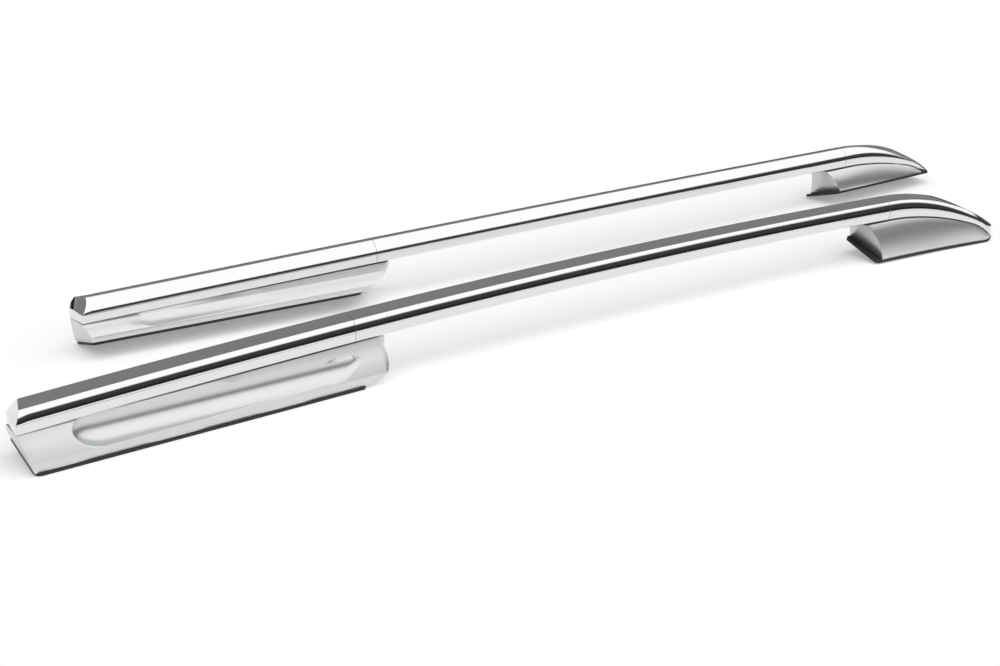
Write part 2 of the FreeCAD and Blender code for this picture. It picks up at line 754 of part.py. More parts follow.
def depth_share(share):
    """The section's height there, as a share of the bar's."""
    return "(1 - (1 - {tip_share}) * %.5f)" % share ** 1.5


def base_level(share):
    return "(%s - {bar_height} * %s)" % (top_level(share), depth_share(share))


def cover_half(share):
    """Half the cover's width at the crease, spreading from the bar's to the foot's."""
    return "({bar_width} / 2 + (%s - {bar_width} / 2) * %.5f)" % (HALF_FOOT, share ** 2)


def station_sketch(body, name, share, along=None):
    """Sketch across the covers' line, leaning with it."""
    sketch = new_sketch(body, "YZ_Plane", name)
    sketch.AttachmentOffset = FreeCAD.Placement(Vector(), FreeCAD.Rotation(Vector(0, 0, 1), 1))
    sketch.setExpression("AttachmentOffset.Rotation.Angle", bound(leaning(share)))
    sketch.setExpression("AttachmentOffset.Base.x", bound(sideways("%.5f" % share)))
    sketch.setExpression("AttachmentOffset.Base.z", bound(along or "{front_reach} * %.5f" % share))
    return sketch


def loft(body, kind, name, sketches):
    feature = body.newObject(kind, name)
    feature.Profile = sketches[0]
    feature.Sections = sketches[1:]
    feature.Ruled = False
    return feature


def tip_places(outset):
    """Four corners of the tip's outline in plan, from its outer side round to its inner side."""
    half = "(%s + %s)" % (HALF_FOOT, outset)
    outer_end = "(%s + %s)" % (OUTER_END, outset)
    inner_end = "(%s + {tip_slant})" % outer_end
    flare, end_flare = sideways(OUTER_END + " / {front_reach}"), sideways("1")
    return [
        (outer_end, "%s - %s" % (flare, half)),
        (outer_end + " + {tip_round}", "%s - %s + {tip_round}" % (end_flare, half)),
        (inner_end + " + {tip_round}", "%s + %s - {tip_round}" % (end_flare, half)),
        (inner_end, "%s + %s" % (flare, half)),
    ]


TIP_QUARTER = QUARTER_RISE + " * {tip_round}"


def cut_tip(body):
    """Round a cover off in plan at the tip, just inside the gasket's edge."""
    sketch = new_sketch(body, "XY_Plane", "tip_plan_view")
    first, second, third, fourth = tip_places("{gasket_lip} / 2")
    draw_outline(sketch, [
        (first[0], "-2 * {foot_width}"),
        ("2 * {front_reach}", "-2 * {foot_width}"),
        ("2 * {front_reach}", "2 * {foot_width}"),
        (fourth[0], "2 * {foot_width}"),
        fourth + ("-" + TIP_QUARTER,),
        third + ("-{tip_crown}",),
        second + ("-" + TIP_QUARTER,),
        first,
    ])
    pocket(body, "tip_cut", sketch, "6 * {front_height}")


front_cover = new_body("front_end_cover", front_frame)
sketches = []
for number, share in enumerate((0.0015,) + SHARES):
    sketch = station_sketch(front_cover, "cover_section_%d" % number, share)
    wide = "%s / ({bar_width} / 2)" % cover_half(share)
    outline = section_outline(wide, depth_share(share), base_level(share), straight=True)
    draw_outline(sketch, outline)
    sketches.append(sketch)
loft(front_cover, "PartDesign::AdditiveLoft", "cover_form", sketches)
inside = []
for number, share in enumerate((0, 0.35, 0.7)):
    sketch = station_sketch(front_cover, "cover_inside_%d" % number, share)
    wide = "%s / ({bar_width} / 2)" % cover_half(share)
    draw_outline(sketch, bore_outline("0", "-2 * {bar_wall}", wide, depth_share(share), base_level(share)))
    inside.append(sketch)
loft(front_cover, "PartDesign::SubtractiveLoft", "cover_hollow", inside)
cut_tip(front_cover)

# Front foot cover: short, with full sides and a hollowed, raked inner end


def foot_section(share, inset="0", fullness="0"):
    """Full-sided section from the roof up to the end cover, or the hollow inside it."""
    gap = "({shadow_gap} * %.3f + 2 * {fit_clearance})" % (1 - share)
    level = "(%s - %s - (%s))" % (base_level(share), gap, inset)
    top = "(%s * 0.94 - (%s))" % (cover_half(share), inset)
    half = "(%s - (%s))" % (HALF_FOOT, inset)
    slope = "({roof_slope} - %s)" % leaning(share)
    roof = "(%s + %s) * sin({roof_slope}) / cos(%s)" % (OUTER_EDGE, sideways("%.5f" % share), slope)
    rise = "%s * tan(%s)" % (half, slope)
    inner_edge, outer_edge = "(%s + %s)" % (roof, rise), "(%s - %s)" % (roof, rise)
    knee = "((%s + %s) / 2 + %s * %.3f)" % (half, top, fullness, 1 - 0.8 * share)
    return [
        ("-" + half, "-{lip_height}"),
        (half, "-{lip_height}"),
        (half, inner_edge),
        (knee, "(%s + %s) / 2" % (inner_edge, level)),
        (top, level),
        ("-" + top, level),
        ("-" + knee, "(%s + %s) / 2" % (outer_edge, level)),
        ("-" + half, outer_edge),
    ]


front_foot = new_body("front_foot_cover", front_frame)
sketches = []
for number, share in enumerate((0,) + SHARES):
    sketch = station_sketch(front_foot, "foot_section_%d" % number, share)
    draw_outline(sketch, foot_section(share, fullness="{side_bulge}"))
    sketches.append(sketch)
loft(front_foot, "PartDesign::AdditiveLoft", "foot_form", sketches)
pad(front_foot, "straight_part", sketches[0], "{front_foot_overlap}", backwards=True)
trim_to_gasket(front_foot)
cut_tip(front_foot)
raked_end = new_sketch(front_foot, "XZ_Plane", "raked_end")
end_foot = "({front_foot_rake} - {front_foot_overlap})"
draw_outline(raked_end, [
    ("-2 * {front_foot_overlap}", "-{rear_height}"),
    (end_foot, "-{rear_height}"),
    (end_foot, "0", "{front_foot_rake} / 4"),
    ("{seam_gap} - {front_foot_overlap}", SEAM_LEVEL),
    ("{seam_gap} - {front_foot_overlap}", "2 * {front_height}"),
    ("-2 * {front_foot_overlap}", "2 * {front_height}"),
])
pocket(front_foot, "end_cut", raked_end, "3 * {foot_width}")

inside_start = "(%s + {front_foot_rake} / 4 + {foot_wall})" % end_foot
inside = [station_sketch(front_foot, "foot_inside_0", 0, along=inside_start)]
draw_outline(inside[0], foot_section(0, "{foot_wall}"))
for number, share in enumerate((0.35, 0.7), start=1):
    sketch = station_sketch(front_foot, "foot_inside_%d" % number, share)
    draw_outline(sketch, foot_section(share, "{foot_wall}"))
    inside.append(sketch)
loft(front_foot, "PartDesign::SubtractiveLoft", "foot_hollow", inside)
RIB_HALF = "(%s - {fit_clearance})" % CAVITY_HALF
window = new_sketch(front_foot, "XY_Plane", "rib_window", "{rear_height} / 2")
window_half = "(%s + {fit_clearance})" % RIB_HALF
draw_outline(window, box_outline("0", "-" + window_half, "{front_window}", window_half))
pocket(front_foot, "window", window, "2 * {rear_height}", midplane=False, backwards=True)

# Front gasket, to the foot's outline

f0 = "({front_gasket_start} - {gasket_lip})"
rises = [TIP_QUARTER, "{tip_crown}", TIP_QUARTER, "0"]
front_tip = [
    (x, "%s + (%s) / cos({roof_slope})" % (MIDDLE, y), rise)
    for (x, y), rise in zip(tip_places("{gasket_lip}"), rises)
]
front_flare = sideways(OUTER_END + " / {front_reach} / 2")
half_way = OUTER_END + " / 2"
front_outline = [
    ("%s + %s" % (f0, corner), "0"),
    ("0", "0"),
    (half_way, "%s / cos({roof_slope})" % front_flare),
] + front_tip + [
    (half_way, "%s + %s / cos({roof_slope})" % (ROOF_WIDTH, front_flare)),
    ("0", ROOF_WIDTH),
    ("%s + %s" % (f0, corner), ROOF_WIDTH, bulge),
    (f0, "%s - %s" % (ROOF_WIDTH, corner)),
    (f0, corner, bulge),
]
front_bushes = [("{front_bush_start} + %d * {front_bush_spacing}" % step, MIDDLE) for step in (0, 1)]
front_gasket = gasket("front_gasket", front_roof, front_outline, front_bushes)
front_bush_group = bushes("front_bushes", front_roof, front_bushes)
threaded_bushes = group_of("threaded_bushes", [rear_bush_group, front_bush_group])

# Brackets: a cast base plate on the gasket, a channel-shaped rib and a hollow tongue that enters the bar

TONGUE_SHARE = "0.9"
TONGUE_FLOOR = "({bar_wall} + {fit_clearance})"


def tongue(label, start, finish):
    outer = bore_outline("{fit_clearance}", "%s / %s" % (TONGUE_FLOOR, TONGUE_SHARE), high=TONGUE_SHARE)
    floor = "(%s + {tongue_wall}) / %s" % (TONGUE_FLOOR, TONGUE_SHARE)
    inner = bore_outline("({fit_clearance} + {tongue_wall})", floor, high=TONGUE_SHARE)
    return turned_body(label, start, finish, [outer, inner])


def base_plate(label, frame, start, length, places):
    body = new_body(label, frame)
    sketch = new_sketch(body, "XY_Plane", "outline", "{gasket_thickness}")
    edge = "(%s - {plate_width} / 2)" % MIDDLE
    draw_outline(sketch, box_outline(start, edge, "%s + %s" % (start, length), edge + " + {plate_width}"))
    pad(body, "plate", sketch, "{plate_thickness}")
    bosses = new_sketch(body, "XY_Plane", "bosses", "{gasket_thickness}")
    for x, y in places:
        draw_hexagon(bosses, x, y, "{boss_width}")
    pad(body, "bosses", bosses, "{bush_length}")
    return body


def bush_seats(label, frame, places):
    """Solid plugs that cut the seats of the bushes into a bracket."""
    body = new_body(label, frame)
    sketch = new_sketch(body, "XY_Plane", "seats")
    for x, y in places:
        draw_hexagon(sketch, x, y, "{bush_width}")
    pad(body, "plugs", sketch, "{gasket_thickness} + {bush_length}")
    return body


def rib(label, frame, outer, inner):
    """An inverted channel: the side view's outline, hollowed between its two webs."""
    body = new_body(label, frame)
    side = new_sketch(body, "XZ_Plane", "side_view")
    draw_outline(side, outer)
    pad(body, "blank", side, "2 * " + RIB_HALF, midplane=True)
    between = new_sketch(body, "XZ_Plane", "channel")
    draw_outline(between, inner)
    pocket(body, "channel", between, "2 * (%s - {web_thickness})" % RIB_HALF)
    trim_to_gasket(body)
    return body


web = "{web_thickness}"
below = "-{lip_height}"

rear_plate = base_plate("rear_plate", rear_roof, "{rear_plate_start}", PLATE_LENGTH, rear_bushes)
rear_tongue = tongue("rear_tongue", HOLLOW_END + " - {tongue_overlap}", REAR_SEAM + " + {tongue_length}")
rear_rib_start = ("{rear_plate_start}", "(%s + {rib_rise})" % underside("{rear_plate_start}"))
rear_rib_end = ("(%s - {foot_wall})" % HOLLOW_END, "(%s + {rib_rise})" % underside(HOLLOW_END))
rib_foot = "({rear_plate_start} + %s)" % PLATE_LENGTH
rear_rib = rib("rear_rib", rear_frame, [
    (rear_rib_start[0], below),
    (rib_foot, below),
    (rear_rib_end[0], underside(HOLLOW_END)),
    rear_rib_end,
    rear_rib_start,
], [
    ("%s + %s" % (rear_rib_start[0], web), below),
    ("%s - 2 * %s" % (rib_foot, web), below),
    ("%s - 2 * %s" % (rear_rib_end[0], web), "%s - %s" % (underside(HOLLOW_END), web)),
    ("%s + %s" % (rear_rib_start[0], web), "%s - %s" % (underside("{rear_plate_start}"), web)),
])
rear_seats = bush_seats("rear_bush_seats", rear_roof, rear_bushes)
rear_blank = fuse("rear_bracket_blank", [rear_plate, rear_rib, rear_tongue])
rear_bracket = cut("rear_bracket", rear_blank, [rear_seats, rear_screw_hole])

plate_start = "{front_plate_start}"
front_plate = base_plate("front_plate", front_roof, plate_start, "{front_plate_length}", front_bushes)
front_tongue_end = FRONT_SEAM + " + {front_tongue_overlap}"
front_tongue = tongue("front_tongue", FRONT_SEAM + " - {tongue_length}", front_tongue_end)
plate_end = "({front_plate_start} + {front_plate_length})"
end_share = value_of(plate_end) / size("front_reach")
front_rib_start = ("{front_tongue_overlap}", "(%s + {rib_rise})" % SEAM_LEVEL)
front_rib_end = (plate_end, "(%s + {rib_rise} / 2)" % base_level(end_share))
under_bar = "(%s - 2 * {foot_wall} - {shadow_gap})" % SEAM_LEVEL
front_rib = rib("front_rib", front_frame, [
    ("{front_plate_start}", below),
    (plate_end, below),
    front_rib_end,
    front_rib_start,
    ("{seam_gap}", front_rib_start[1]),
    ("{seam_gap}", under_bar),
    ("{front_plate_start}", under_bar),
], [
    ("{front_plate_start} + %s" % web, below),
    ("%s - %s" % (plate_end, web), below),
    ("%s - %s" % (plate_end, web), "%s - %s" % (front_rib_end[1], web)),
    ("{front_tongue_overlap}", "%s - 2 * %s" % (SEAM_LEVEL, web)),
    ("{seam_gap} + %s" % web, "%s - %s" % (under_bar, web)),
    ("{front_plate_start} + %s" % web, "%s - %s" % (under_bar, web)),
])
front_seats = bush_seats("front_bush_seats", front_roof, front_bushes)
front_blank = fuse("front_bracket_blank", [front_plate, front_rib, front_tongue])
front_bracket = cut("front_bracket", front_blank, [front_seats, front_screw_hole])

# Clips: bent spring strips that straddle the rib's top and press outwards inside the end cover


def clips(label, frame, rib_start, rib_end, reaches):
    start = Vector(value_of(rib_start[0]), 0, value_of(rib_start[1]))
    end = Vector(value_of(rib_end[0]), 0, value_of(rib_end[1]))
    slope = (end.z - start.z) / (end.x - start.x)
    pitch = FreeCAD.Rotation(Vector(0, 1, 0), -math.degrees(math.atan(slope)))
    saddle, leg = "(%s + {fit_clearance})" % RIB_HALF, "(%s + {fit_clearance} + {clip_thickness})" % RIB_HALF
    wing = "({clip_span} / 2)"
    inner_wing = "({clip_span} / 2 - {clip_thickness})"
    crown, top = "{fit_clearance}", "({fit_clearance} + {clip_thickness})"
    low, floor = "-{clip_drop}", "({clip_thickness} - {clip_drop})"
    right_side = [
        (wing, low),
        (wing, "{clip_drop}"),
        (inner_wing, "{clip_drop}"),
        (inner_wing, floor),
        (leg, floor),
        (leg, top),
    ]
    left_side = [("-" + y, z) for y, z in reversed(right_side)]
    middle = [("-" + saddle, low), ("-" + saddle, crown), (saddle, crown), (saddle, low)]
    strips = []
    for number, reach in enumerate(reaches, start=1):
        along = value_of(reach)
        place = Vector(along, 0, start.z + slope * (along - start.x))
        body = new_body("%s_%d" % (label, number), frame.multiply(FreeCAD.Placement(place, pitch)))
        sketch = new_sketch(body, "YZ_Plane", "strip")
        draw_outline(sketch, right_side + left_side + middle)
        pad(body, "strip_width", sketch, "{clip_width}", midplane=True)
        strips.append(body)
    return strips


rear_clip_places = ["{rear_clip_start} + %d * {rear_clip_spacing}" % number for number in (0, 1, 2)]
rear_clips = clips("rear_clip", rear_frame, rear_rib_start, rear_rib_end, rear_clip_places)
front_clip_places = ["{front_clip_start} + %d * {front_clip_spacing}" % number for number in (0, 1)]
front_clips = clips("front_clip", front_frame, front_rib_start, front_rib_end, front_clip_places)
cover_clips = group_of("cover_clips", rear_clips + front_clips)

# The left-hand rail: every piece mirrored, and shifted forwards by the stagger

right_pieces = [
    bar,
    rear_cover,
    rear_foot,
    rear_gasket,
    rear_bracket,
    front_cover,
    front_foot,
    front_gasket,
    front_bracket,
    threaded_bushes,
    tongue_screws,
    cover_clips,
]


def mirrored(piece, label):
    """The left-hand twin. A cut piece is cut afresh on its own side."""
    if piece.TypeId == "Part::Cut":
        return cut(label, mirrored(piece.Base, label + "_blank"), [mirrored(piece.Tool, label + "_tool")])
    twin = doc.addObject("Part::Mirroring", label)
    twin.Source = piece
    twin.Normal = Vector(0, 1, 0)
    twin.Label = label
    twin.setExpression("Placement.Base.x", bound("{rail_stagger}"))
    return twin


left_pieces = []
for piece in right_pieces:
    left_pieces.append(mirrored(piece, "left_" + piece.Label))
    piece.Label = "right_" + piece.Label
doc.recompute()

# Checks, then one STEP file for each piece

for item in doc.Objects:
    if "Invalid" in item.State or "Error" in item.State:
        raise RuntimeError("%s did not compute: %s" % (item.Label, item.State))
for piece in right_pieces + left_pieces:
    if piece.Shape.isNull() or not piece.Shape.isValid():
        raise RuntimeError(piece.Label + " has no valid shape")
for piece in right_pieces + left_pieces:
    piece.Shape.exportStep("parts/%s.step" % piece.Label)
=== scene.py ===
import bpy
import json
import math
from mathutils import Euler, Matrix, Vector

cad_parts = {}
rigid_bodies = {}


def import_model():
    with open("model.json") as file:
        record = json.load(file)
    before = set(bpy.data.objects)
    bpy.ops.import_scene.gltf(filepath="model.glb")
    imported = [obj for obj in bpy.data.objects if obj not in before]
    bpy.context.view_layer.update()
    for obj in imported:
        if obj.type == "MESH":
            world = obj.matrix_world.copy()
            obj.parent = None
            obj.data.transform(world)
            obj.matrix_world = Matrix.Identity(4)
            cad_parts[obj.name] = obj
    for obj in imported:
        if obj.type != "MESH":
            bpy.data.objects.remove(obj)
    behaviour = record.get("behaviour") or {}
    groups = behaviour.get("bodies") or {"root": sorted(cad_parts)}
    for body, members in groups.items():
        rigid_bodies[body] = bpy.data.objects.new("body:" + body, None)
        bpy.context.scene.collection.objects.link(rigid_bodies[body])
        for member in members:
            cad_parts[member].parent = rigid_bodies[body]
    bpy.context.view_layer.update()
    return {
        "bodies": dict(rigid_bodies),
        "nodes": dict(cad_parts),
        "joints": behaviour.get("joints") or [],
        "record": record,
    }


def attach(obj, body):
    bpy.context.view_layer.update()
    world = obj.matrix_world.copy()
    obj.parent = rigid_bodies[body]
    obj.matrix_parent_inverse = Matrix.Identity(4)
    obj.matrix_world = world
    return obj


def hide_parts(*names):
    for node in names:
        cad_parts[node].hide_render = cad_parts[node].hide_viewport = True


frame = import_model()
bpy.ops.object.select_all(action="DESELECT")

# Camera: at the photograph's angle, a little above the rails and to the right of their rear ends

FOCAL_PIXELS = 1558.2
IMAGE_WIDTH = 1000
camera_data = bpy.data.cameras.new("camera")
camera_data.sensor_width = 36.0
camera_data.lens = FOCAL_PIXELS * camera_data.sensor_width / IMAGE_WIDTH
camera_data.clip_end = 100
camera = bpy.data.objects.new("camera", camera_data)
bpy.context.collection.objects.link(camera)
camera.location = (-1.5217, -1.86675, 0.8326)
PITCH, YAW, ROLL = math.radians(20.90), math.radians(35.885), math.radians(1.159)
aim = Euler((math.pi / 2 - PITCH, 0, -YAW), "XYZ").to_matrix() @ Matrix.Rotation(ROLL, 3, "Z")
camera.rotation_euler = aim.to_euler()
bpy.context.scene.camera = camera

# Bar: an aluminium extrusion, hollow, bent sideways and upwards to one shallow arc after it is drawn.
# Its section has a crease low on each side, curved shoulders and a top that falls outwards from its ridge.
# It is polished and bright anodised, which leaves faint lines along it.

RAIL_LENGTH = 1.810
RAIL_SPACING = 0.3144
RAIL_STAGGER = 0.202
PLAN_BOW = 0.0247
ARCH_RISE = 0.0129
REAR_HEIGHT = 0.0498
FRONT_HEIGHT = 0.0657
REAR_SEAM = 0.479
FRONT_REACH = 0.272
FRONT_SEAM = RAIL_LENGTH - FRONT_REACH
HALF_SEAM_GAP = 0.0002
BAR_WIDTH = 0.045
BAR_HEIGHT = 0.0352
OUTER_TOP = Vector((-0.0165, 0.0302))
RIDGE = Vector((0.0070, 0.0350))
CROWN = 0.0008
CREASE_HEIGHT = 0.0140
CREASE_STEP = 0.0011
SIDE_LEAN = 0.0005
OUTER_BULGE = 0.0008
INNER_BULGE = 0.0028
BAR_CORNER = 0.002
TOP_EDGE_RADIUS = 0.003
CREASE_RADIUS = 0.0006
BAR_STATIONS = 44
END_HOLD = 0.05
SMOOTH_ANGLE = 24

SAGITTA = math.hypot(PLAN_BOW, ARCH_RISE)
ARC_RADIUS = (RAIL_LENGTH ** 2 / 4 + SAGITTA ** 2) / (2 * SAGITTA)
ARC_LEAN = math.atan2(ARCH_RISE, PLAN_BOW)
CHORD_TILT = math.atan2(FRONT_HEIGHT - REAR_HEIGHT, RAIL_LENGTH)
mid_chord = Vector((-RAIL_STAGGER / 2, -RAIL_SPACING / 2, (REAR_HEIGHT + FRONT_HEIGHT) / 2))
toward_crown = Vector((0, math.cos(ARC_LEAN), math.sin(ARC_LEAN)))
arc_axis = Vector((0, -math.sin(ARC_LEAN), math.cos(ARC_LEAN)))
arc_centre = mid_chord + toward_crown * (SAGITTA - ARC_RADIUS)


def about(centre, turn):
    """A turn made about a point."""
    return Matrix.Translation(centre) @ turn @ Matrix.Translation(-centre)


def station(reach):
    """Frame on the right-hand bar's underside at a distance along its chord, X along the bar."""
    angle = math.asin((reach - RAIL_LENGTH / 2) / ARC_RADIUS)
    crown_place = Matrix.Translation(mid_chord + toward_crown * SAGITTA)
    swing = about(arc_centre, Matrix.Rotation(-angle, 4, arc_axis))
    return about(mid_chord, Matrix.Rotation(-CHORD_TILT, 4, "Y")) @ swing @ crown_place


def arc_points(start, end, rise, steps):
    """Points after the start, up to the end, on an arc that rises to the right of the line between them."""
    chord = end - start
    outward = Vector((chord.y, -chord.x)).normalized()
    return [start + chord * (n / steps) + outward * (rise * 4 * (n / steps) * (1 - n / steps))
            for n in range(1, steps + 1)]


def rounded(points, radius, steps=4):
    """An outline with each of its corners in the dict given by place in the list rounded off."""
    outline = []
    for index, point in enumerate(points):
        if index not in radius:
            outline.append(point)
            continue
        before = (points[index - 1] - point).normalized()
        after = (points[(index + 1) % len(points)] - point).normalized()
        half = before.angle(after) / 2
        back = radius[index] / math.tan(half)
        centre = point + (before + after).normalized() * (radius[index] / math.sin(half))
        first, last = point + before * back - centre, point + after * back - centre
        for n in range(steps + 1):
            ray = first.lerp(last, n / steps).normalized() * radius[index]
            outline.append(centre + ray)
    return outline


def bar_section():
    """The bar's outline, seen from the rear, from its lower inner corner over the ridge to the outer one."""
    side_top = BAR_WIDTH / 2 - CREASE_STEP
    side_bottom = side_top - SIDE_LEAN
    inner = [
        Vector((side_bottom, 0)),
        Vector((side_top, CREASE_HEIGHT - CREASE_STEP)),
        Vector((BAR_WIDTH / 2, CREASE_HEIGHT)),
    ]
    outer = [Vector((-side.x, side.y)) for side in reversed(inner)]
    inner_shoulder = arc_points(inner[-1], RIDGE, INNER_BULGE, 14)
    top_face = arc_points(RIDGE, OUTER_TOP, CROWN, 12)
    outer_shoulder = arc_points(OUTER_TOP, outer[0], OUTER_BULGE, 12)
    outline = inner + inner_shoulder + top_face + outer_shoulder + outer[1:]
    ridge = len(inner) + len(inner_shoulder) - 1
    last = len(outline) - 1
    corners = {
        0: BAR_CORNER,
        2: CREASE_RADIUS,
        ridge: TOP_EDGE_RADIUS,
        ridge + len(top_face): TOP_EDGE_RADIUS,
        last - 2: CREASE_RADIUS,
        last: BAR_CORNER,
    }
    return rounded(outline, corners)


def hoop(places):
    """A closed wire through a ring of places."""
    bpy.ops.mesh.primitive_circle_add(vertices=len(places), fill_type="NOTHING", radius=0.01)
    wire = bpy.context.object
    for vertex, place in zip(wire.data.vertices, places):
        vertex.co = place
    return wire


def skin(name, rings):
    """A closed form bridged from ring to ring, with its two ends filled."""
    wires = [hoop(ring) for ring in rings]
    bpy.ops.object.select_all(action="DESELECT")
    for wire in wires:
        wire.select_set(True)
    bpy.context.view_layer.objects.active = wires[0]
    bpy.ops.object.join()
    piece = bpy.context.object
    piece.name = name
    piece.data.name = name
    bpy.ops.object.mode_set(mode="EDIT")
    bpy.ops.mesh.select_all(action="SELECT")
    bpy.ops.mesh.bridge_edge_loops()
    bpy.ops.mesh.select_all(action="SELECT")
    bpy.ops.mesh.fill_holes(sides=0)
    bpy.ops.mesh.select_all(action="SELECT")
    bpy.ops.mesh.normals_make_consistent(inside=False)
    bpy.ops.object.mode_set(mode="OBJECT")
    return piece


def soften(piece, width, angle=40, segments=2):
    """Break the sharp edges of a finished form with a small bevel, then shade it smooth."""
    bpy.ops.object.select_all(action="DESELECT")
    piece.select_set(True)
    bpy.context.view_layer.objects.active = piece
    bevel = piece.modifiers.new("edge_break", "BEVEL")
    bevel.width = width
    bevel.segments = segments
    bevel.limit_method = "ANGLE"
    bevel.angle_limit = math.radians(angle)
    bevel.harden_normals = False
    bpy.ops.object.modifier_apply(modifier=bevel.name)
    bpy.ops.object.shade_smooth_by_angle(angle=math.radians(SMOOTH_ANGLE))


def left_twin(piece, name):
    """The left-hand twin: mirrored across the middle and set forwards by the stagger."""
    twin = piece.copy()
    twin.data = piece.data.copy()
    twin.name = name
    twin.data.name = name
    bpy.context.collection.objects.link(twin)
    twin.data.transform(Matrix.Translation((RAIL_STAGGER, 0, 0)) @ Matrix.Scale(-1, 4, (0, 1, 0)))
    bpy.ops.object.select_all(action="DESELECT")
    twin.select_set(True)
    bpy.context.view_layer.objects.active = twin
    bpy.ops.object.mode_set(mode="EDIT")
    bpy.ops.mesh.select_all(action="SELECT")
    bpy.ops.mesh.normals_make_consistent(inside=False)
    bpy.ops.object.mode_set(mode="OBJECT")
    return twin


def fit_pair(piece, node, material):
    """Both hands of a piece take their material, ride on the frame and stand for their CAD nodes."""
    piece.data.materials.clear()
    piece.data.materials.append(material)
    for hand in (piece, left_twin(piece, piece.name.replace("right", "left"))):
        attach(hand, "root")
        side = "right" if hand is piece else "left"
        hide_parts("%s_%s" % (side, node))


def group_tree(name, inputs, outputs):
    """An empty shader node group with float inputs and named outputs."""
    tree = bpy.data.node_groups.new(name, "ShaderNodeTree")
    for label, value in inputs:
        socket = tree.interface.new_socket(label, in_out="INPUT", socket_type="NodeSocketFloat")
        socket.default_value = value
    for label in outputs:
        tree.interface.new_socket(label, in_out="OUTPUT", socket_type="NodeSocketFloat")
    return tree, tree.nodes.new("NodeGroupInput"), tree.nodes.new("NodeGroupOutput")


# Fine lines that drawing, polishing or moulding leaves along a rail, as one value about 0.5
drawn_lines, group_in, group_out = group_tree("drawn_lines", [("Across", 900.0), ("Along", 6.0)], ["Lines"])
coordinates = drawn_lines.nodes.new("ShaderNodeTexCoord")
scale = drawn_lines.nodes.new("ShaderNodeCombineXYZ")
stretch = drawn_lines.nodes.new("ShaderNodeVectorMath")
stretch.operation = "MULTIPLY"
grain = drawn_lines.nodes.new("ShaderNodeTexNoise")
grain.inputs["Scale"].default_value = 1.0
grain.inputs["Detail"].default_value = 3.0
links = drawn_lines.links
links.new(group_in.outputs["Along"], scale.inputs["X"])
links.new(group_in.outputs["Across"], scale.inputs["Y"])
links.new(group_in.outputs["Across"], scale.inputs["Z"])
links.new(coordinates.outputs["Object"], stretch.inputs[0])
links.new(scale.outputs["Vector"], stretch.inputs[1])
links.new(stretch.outputs["Vector"], grain.inputs["Vector"])
links.new(grain.outputs["Fac"], group_out.inputs["Lines"])


def lined_metal(name, color, dark_color, metallic, roughness, spread, across, along, bump):
    """A metal or metallic coating whose colour, roughness and surface follow the fine drawn lines."""
    material = bpy.data.materials.new(name)
    material.use_nodes = True
    nodes, links = material.node_tree.nodes, material.node_tree.links
    shader = nodes["Principled BSDF"]
    shader.inputs["Metallic"].default_value = metallic
    lines = nodes.new("ShaderNodeGroup")
    lines.node_tree = drawn_lines
    lines.inputs["Across"].default_value = across
    lines.inputs["Along"].default_value = along
    tint = nodes.new("ShaderNodeMix")
    tint.data_type = "RGBA"
    tint.inputs["A"].default_value = dark_color + (1,)
    tint.inputs["B"].default_value = color + (1,)
    span = nodes.new("ShaderNodeMapRange")
    span.inputs["To Min"].default_value = roughness - spread
    span.inputs["To Max"].default_value = roughness + spread
    relief = nodes.new("ShaderNodeBump")
    relief.inputs["Strength"].default_value = bump
    relief.inputs["Distance"].default_value = 0.0001
    links.new(lines.outputs["Lines"], tint.inputs["Factor"])
    links.new(tint.outputs["Result"], shader.inputs["Base Color"])
    links.new(lines.outputs["Lines"], span.inputs["Value"])
    links.new(span.outputs["Result"], shader.inputs["Roughness"])
    links.new(lines.outputs["Lines"], relief.inputs["Height"])
    links.new(relief.outputs["Normal"], shader.inputs["Normal"])
    return material


bright_anodised = lined_metal("bright_anodised", (0.76, 0.765, 0.77), (0.74, 0.745, 0.75), 1.0, 0.08, 0.02,
                              900.0, 5.0, 0.03)
section = bar_section()
bar_rings = []
for step in [0, END_HOLD] + list(range(1, BAR_STATIONS)) + [BAR_STATIONS - END_HOLD, BAR_STATIONS]:
    reach = REAR_SEAM + HALF_SEAM_GAP + (FRONT_SEAM - REAR_SEAM - 2 * HALF_SEAM_GAP) * step / BAR_STATIONS
    place = station(reach)
    bar_rings.append([place @ Vector((0, across, up)) for across, up in section])
bar = skin("right_bar_extrusion", bar_rings)
soften(bar, 0.0003, 60)
fit_pair(bar, "bar", bright_anodised)

# Rear end cover: a long plastic moulding with the bar's own section, metallised to match the bar.
# It clips over the rear bracket, meets the bar at a fine seam and ends in a raked, slightly domed nose.

NOSE_START = 0.003
NOSE_RAKE = 0.62
NOSE_SLANT = 0.006
NOSE_DOME = 0.0015
NOSE_FULL = 0.042
NOSE_CENTRE = 0.016
NOSE_TWIST = 0.3
COVER_STATIONS = 24

bright_plated = lined_metal("bright_plated", (0.76, 0.765, 0.77), (0.74, 0.745, 0.75), 1.0, 0.07, 0.02,
                            700.0, 4.0, 0.02)


def nose_reach(across, up):
    """How far back the nose's face reaches at a place in the section."""
    side = across / (BAR_WIDTH / 2)
    rake = NOSE_RAKE * max(up - CREASE_HEIGHT, 0) * (1 + NOSE_TWIST * side)
    slant = NOSE_SLANT * (1 + side) / 2
    return NOSE_START + max(rake + slant - NOSE_DOME * (1 - side ** 2), 0)


